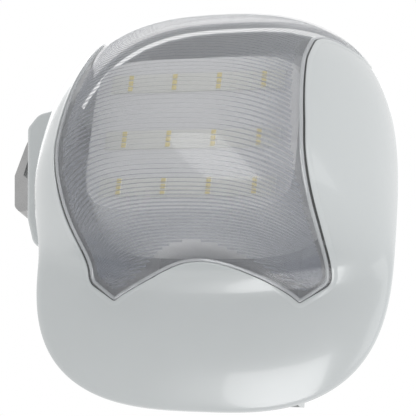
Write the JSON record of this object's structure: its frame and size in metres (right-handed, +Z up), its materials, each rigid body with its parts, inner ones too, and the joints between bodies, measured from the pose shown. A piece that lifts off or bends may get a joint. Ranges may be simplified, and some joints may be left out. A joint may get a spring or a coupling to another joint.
{
  "type": "garage door opener",
  "caption": "Ceiling-hung garage door opener head: rounded white cover, smoked ribbed lamp lens, worm drive, sprocket, side release lever and control panel.",
  "frame": {"origin": "centre of the ceiling bridge's top face, above the output shaft", "axes": "+Z up towards the ceiling; +Y towards the control panel, away from the door; -Y towards the rail and the lamp end; -X towards the release lever"},
  "size_m": [0.3534, 0.3512, 0.2476],
  "materials": {
    "white_gloss": "glossy moulded",
    "smoked_lens": "smoked clear moulding with fine ribs inside",
    "reflector_white": "satin white",
    "lamp_strip": "white board with yellow lamp chips",
    "zinc_steel": "zinc plated sheet",
    "dark_steel": "dark oxide steel",
    "bright_steel": "bright steel",
    "bronze": "sintered bronze",
    "gear_nylon": "natural nylon",
    "black_plastic": "moulded black",
    "grey_plastic": "moulded dark grey",
    "circuit_green": "solder mask",
    "copper_winding": "varnished winding",
    "aluminium": "plain aluminium",
    "button_yellow": "moulded yellow",
    "relay_blue": "moulded blue"
  },
  "bodies": {
    "head": {"cover": "white_gloss", "upper_case": "white_gloss", "lens": "smoked_lens", "chassis_plate": "zinc_steel", "ceiling_bridge": "zinc_steel", "rail_saddle": "zinc_steel", "motor_can": "zinc_steel", "reflector_post_1": "zinc_steel", "reflector_post_2": "zinc_steel", "reflector_post_3": "zinc_steel", "reflector_post_4": "zinc_steel", "case_screw_1": "bright_steel", "case_screw_2": "bright_steel", "case_screw_3": "bright_steel", "case_screw_4": "bright_steel", "bridge_bolt_1": "bright_steel", "bridge_bolt_2": "bright_steel", "bridge_bolt_3": "bright_steel", "bridge_bolt_4": "bright_steel", "rail_bolt_1": "bright_steel", "rail_bolt_2": "bright_steel", "rail_bolt_3": "bright_steel", "rail_bolt_4": "bright_steel", "lever_pin": "bright_steel", "shaft_bushing": "bronze", "motor_front_bearing": "bronze", "motor_rear_bearing": "bronze", "transformer_core": "dark_steel", "motor_end_bell": "black_plastic", "smoothing_capacitor": "black_plastic", "power_inlet": "black_plastic", "motor_front_plate": "aluminium", "heat_sink": "aluminium", "gearbox_housing": "grey_plastic", "gearbox_cover": "grey_plastic", "control_panel": "grey_plastic", "terminal_block": "grey_plastic", "transformer_winding": "copper_winding", "control_board": "circuit_green", "button_board": "circuit_green", "relay_up": "relay_blue", "relay_down": "relay_blue", "reflector": "reflector_white", "lamp_strip_1": "lamp_strip", "lamp_strip_2": "lamp_strip", "lamp_strip_3": "lamp_strip"},
    "output": {"output_shaft": "bright_steel", "drive_sprocket": "dark_steel", "shaft_clip": "bright_steel", "worm_wheel": "gear_nylon"},
    "rotor": {"rotor_shaft": "bright_steel", "worm": "dark_steel", "rotor_core": "dark_steel", "speed_disc": "black_plastic"},
    "lever": {"release_lever": "bright_steel"},
    "up_key": {"up_button": "black_plastic"},
    "learn_key": {"learn_button": "button_yellow"},
    "down_key": {"down_button": "black_plastic"}
  },
  "joints": [
    {"name": "output_spin", "type": "hinge", "parent": "head", "child": "output", "pos_m": [0, 0, -0.027], "axis": [0, 0, 1], "continuous": true},
    {"name": "rotor_spin", "type": "hinge", "parent": "head", "child": "rotor", "pos_m": [0.046, 0, -0.077], "axis": [0, 1, 0], "continuous": true},
    {"name": "lever_swing", "type": "hinge", "parent": "head", "child": "lever", "pos_m": [-0.1785, -0.103, -0.066], "axis": [0, 0, 1], "range_deg": [0, 45]},
    {"name": "up_press", "type": "slide", "parent": "head", "child": "up_key", "axis": [0, -1, 0], "range_m": [0, 0.0012], "stiffness_N_per_m": 400},
    {"name": "learn_press", "type": "slide", "parent": "head", "child": "learn_key", "axis": [0, -1, 0], "range_m": [0, 0.0012], "stiffness_N_per_m": 400},
    {"name": "down_press", "type": "slide", "parent": "head", "child": "down_key", "axis": [0, -1, 0], "range_m": [0, 0.0012], "stiffness_N_per_m": 400}
  ],
  "couplings": [
    {"joint": "output_spin", "follows": "rotor_spin", "ratio": -0.027778}
  ]
}
